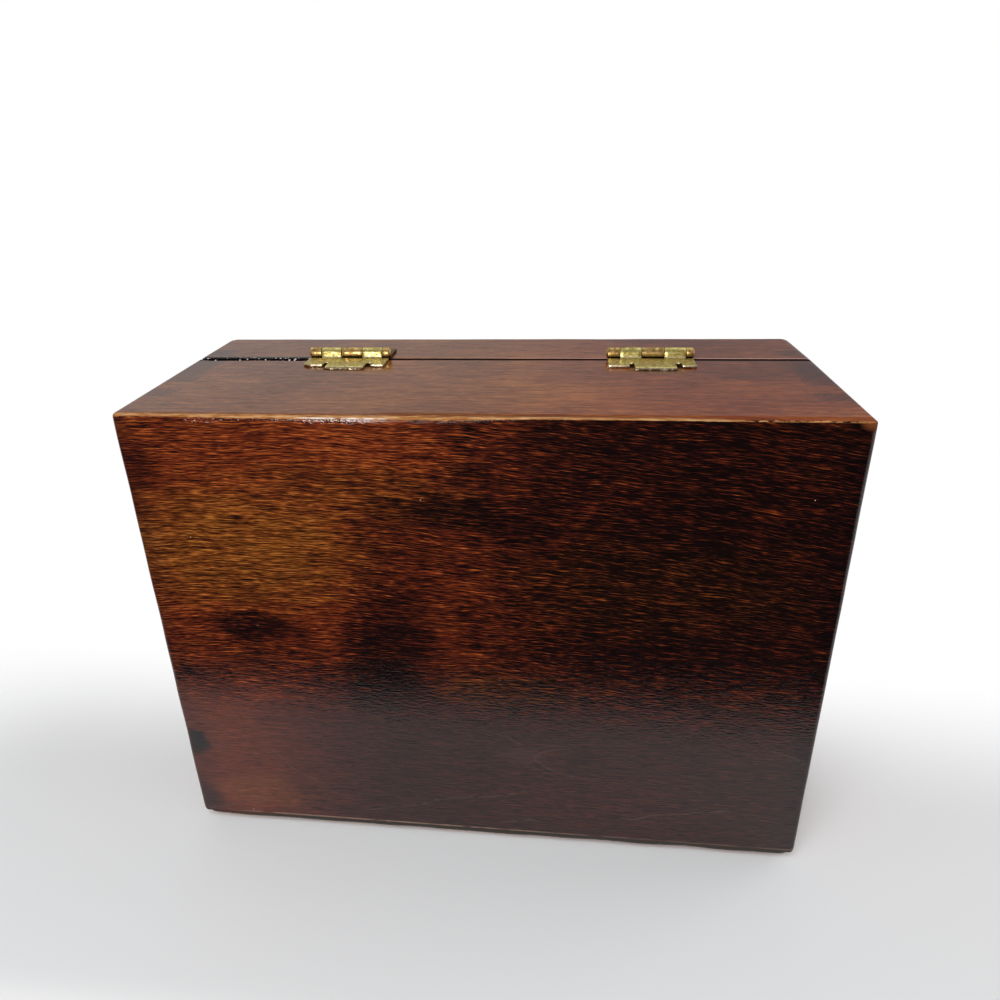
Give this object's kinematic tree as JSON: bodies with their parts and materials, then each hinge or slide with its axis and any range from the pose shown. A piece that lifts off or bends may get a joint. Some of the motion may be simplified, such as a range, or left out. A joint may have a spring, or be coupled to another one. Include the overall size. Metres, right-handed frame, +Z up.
{
  "type": "wooden trinket box",
  "caption": "Rectangular finger-jointed wooden trinket box with a lid that folds back on brass hinges outside its back.",
  "frame": {"origin": "middle of the underside of the closed box, between the outside faces of its walls, without the hinges", "axes": "+X to the right seen from the front, +Y out of the hinged back, +Z up through the lid"},
  "size_m": [0.178, 0.1364, 0.076],
  "materials": {
    "stained_wood": "dark red-brown stain under glossy varnish",
    "hinge_brass": "tarnished stamped sheet"
  },
  "bodies": {
    "base": {"base_front_wall": "stained_wood", "base_back_wall": "stained_wood", "base_left_wall": "stained_wood", "base_right_wall": "stained_wood", "bottom_board": "stained_wood", "left_hinge_base_leaf": "hinge_brass", "left_hinge_pin": "hinge_brass", "right_hinge_base_leaf": "hinge_brass", "right_hinge_pin": "hinge_brass"},
    "lid": {"lid_front_wall": "stained_wood", "lid_back_wall": "stained_wood", "lid_left_wall": "stained_wood", "lid_right_wall": "stained_wood", "lid_top_board": "stained_wood", "left_hinge_lid_leaf": "hinge_brass", "right_hinge_lid_leaf": "hinge_brass"}
  },
  "joints": [
    {"name": "lid_hinge", "type": "hinge", "parent": "base", "child": "lid", "pos_m": [0, 0.0684, 0.0513], "axis": [-1, 0, 0], "range_deg": [0, 188]}
  ]
}
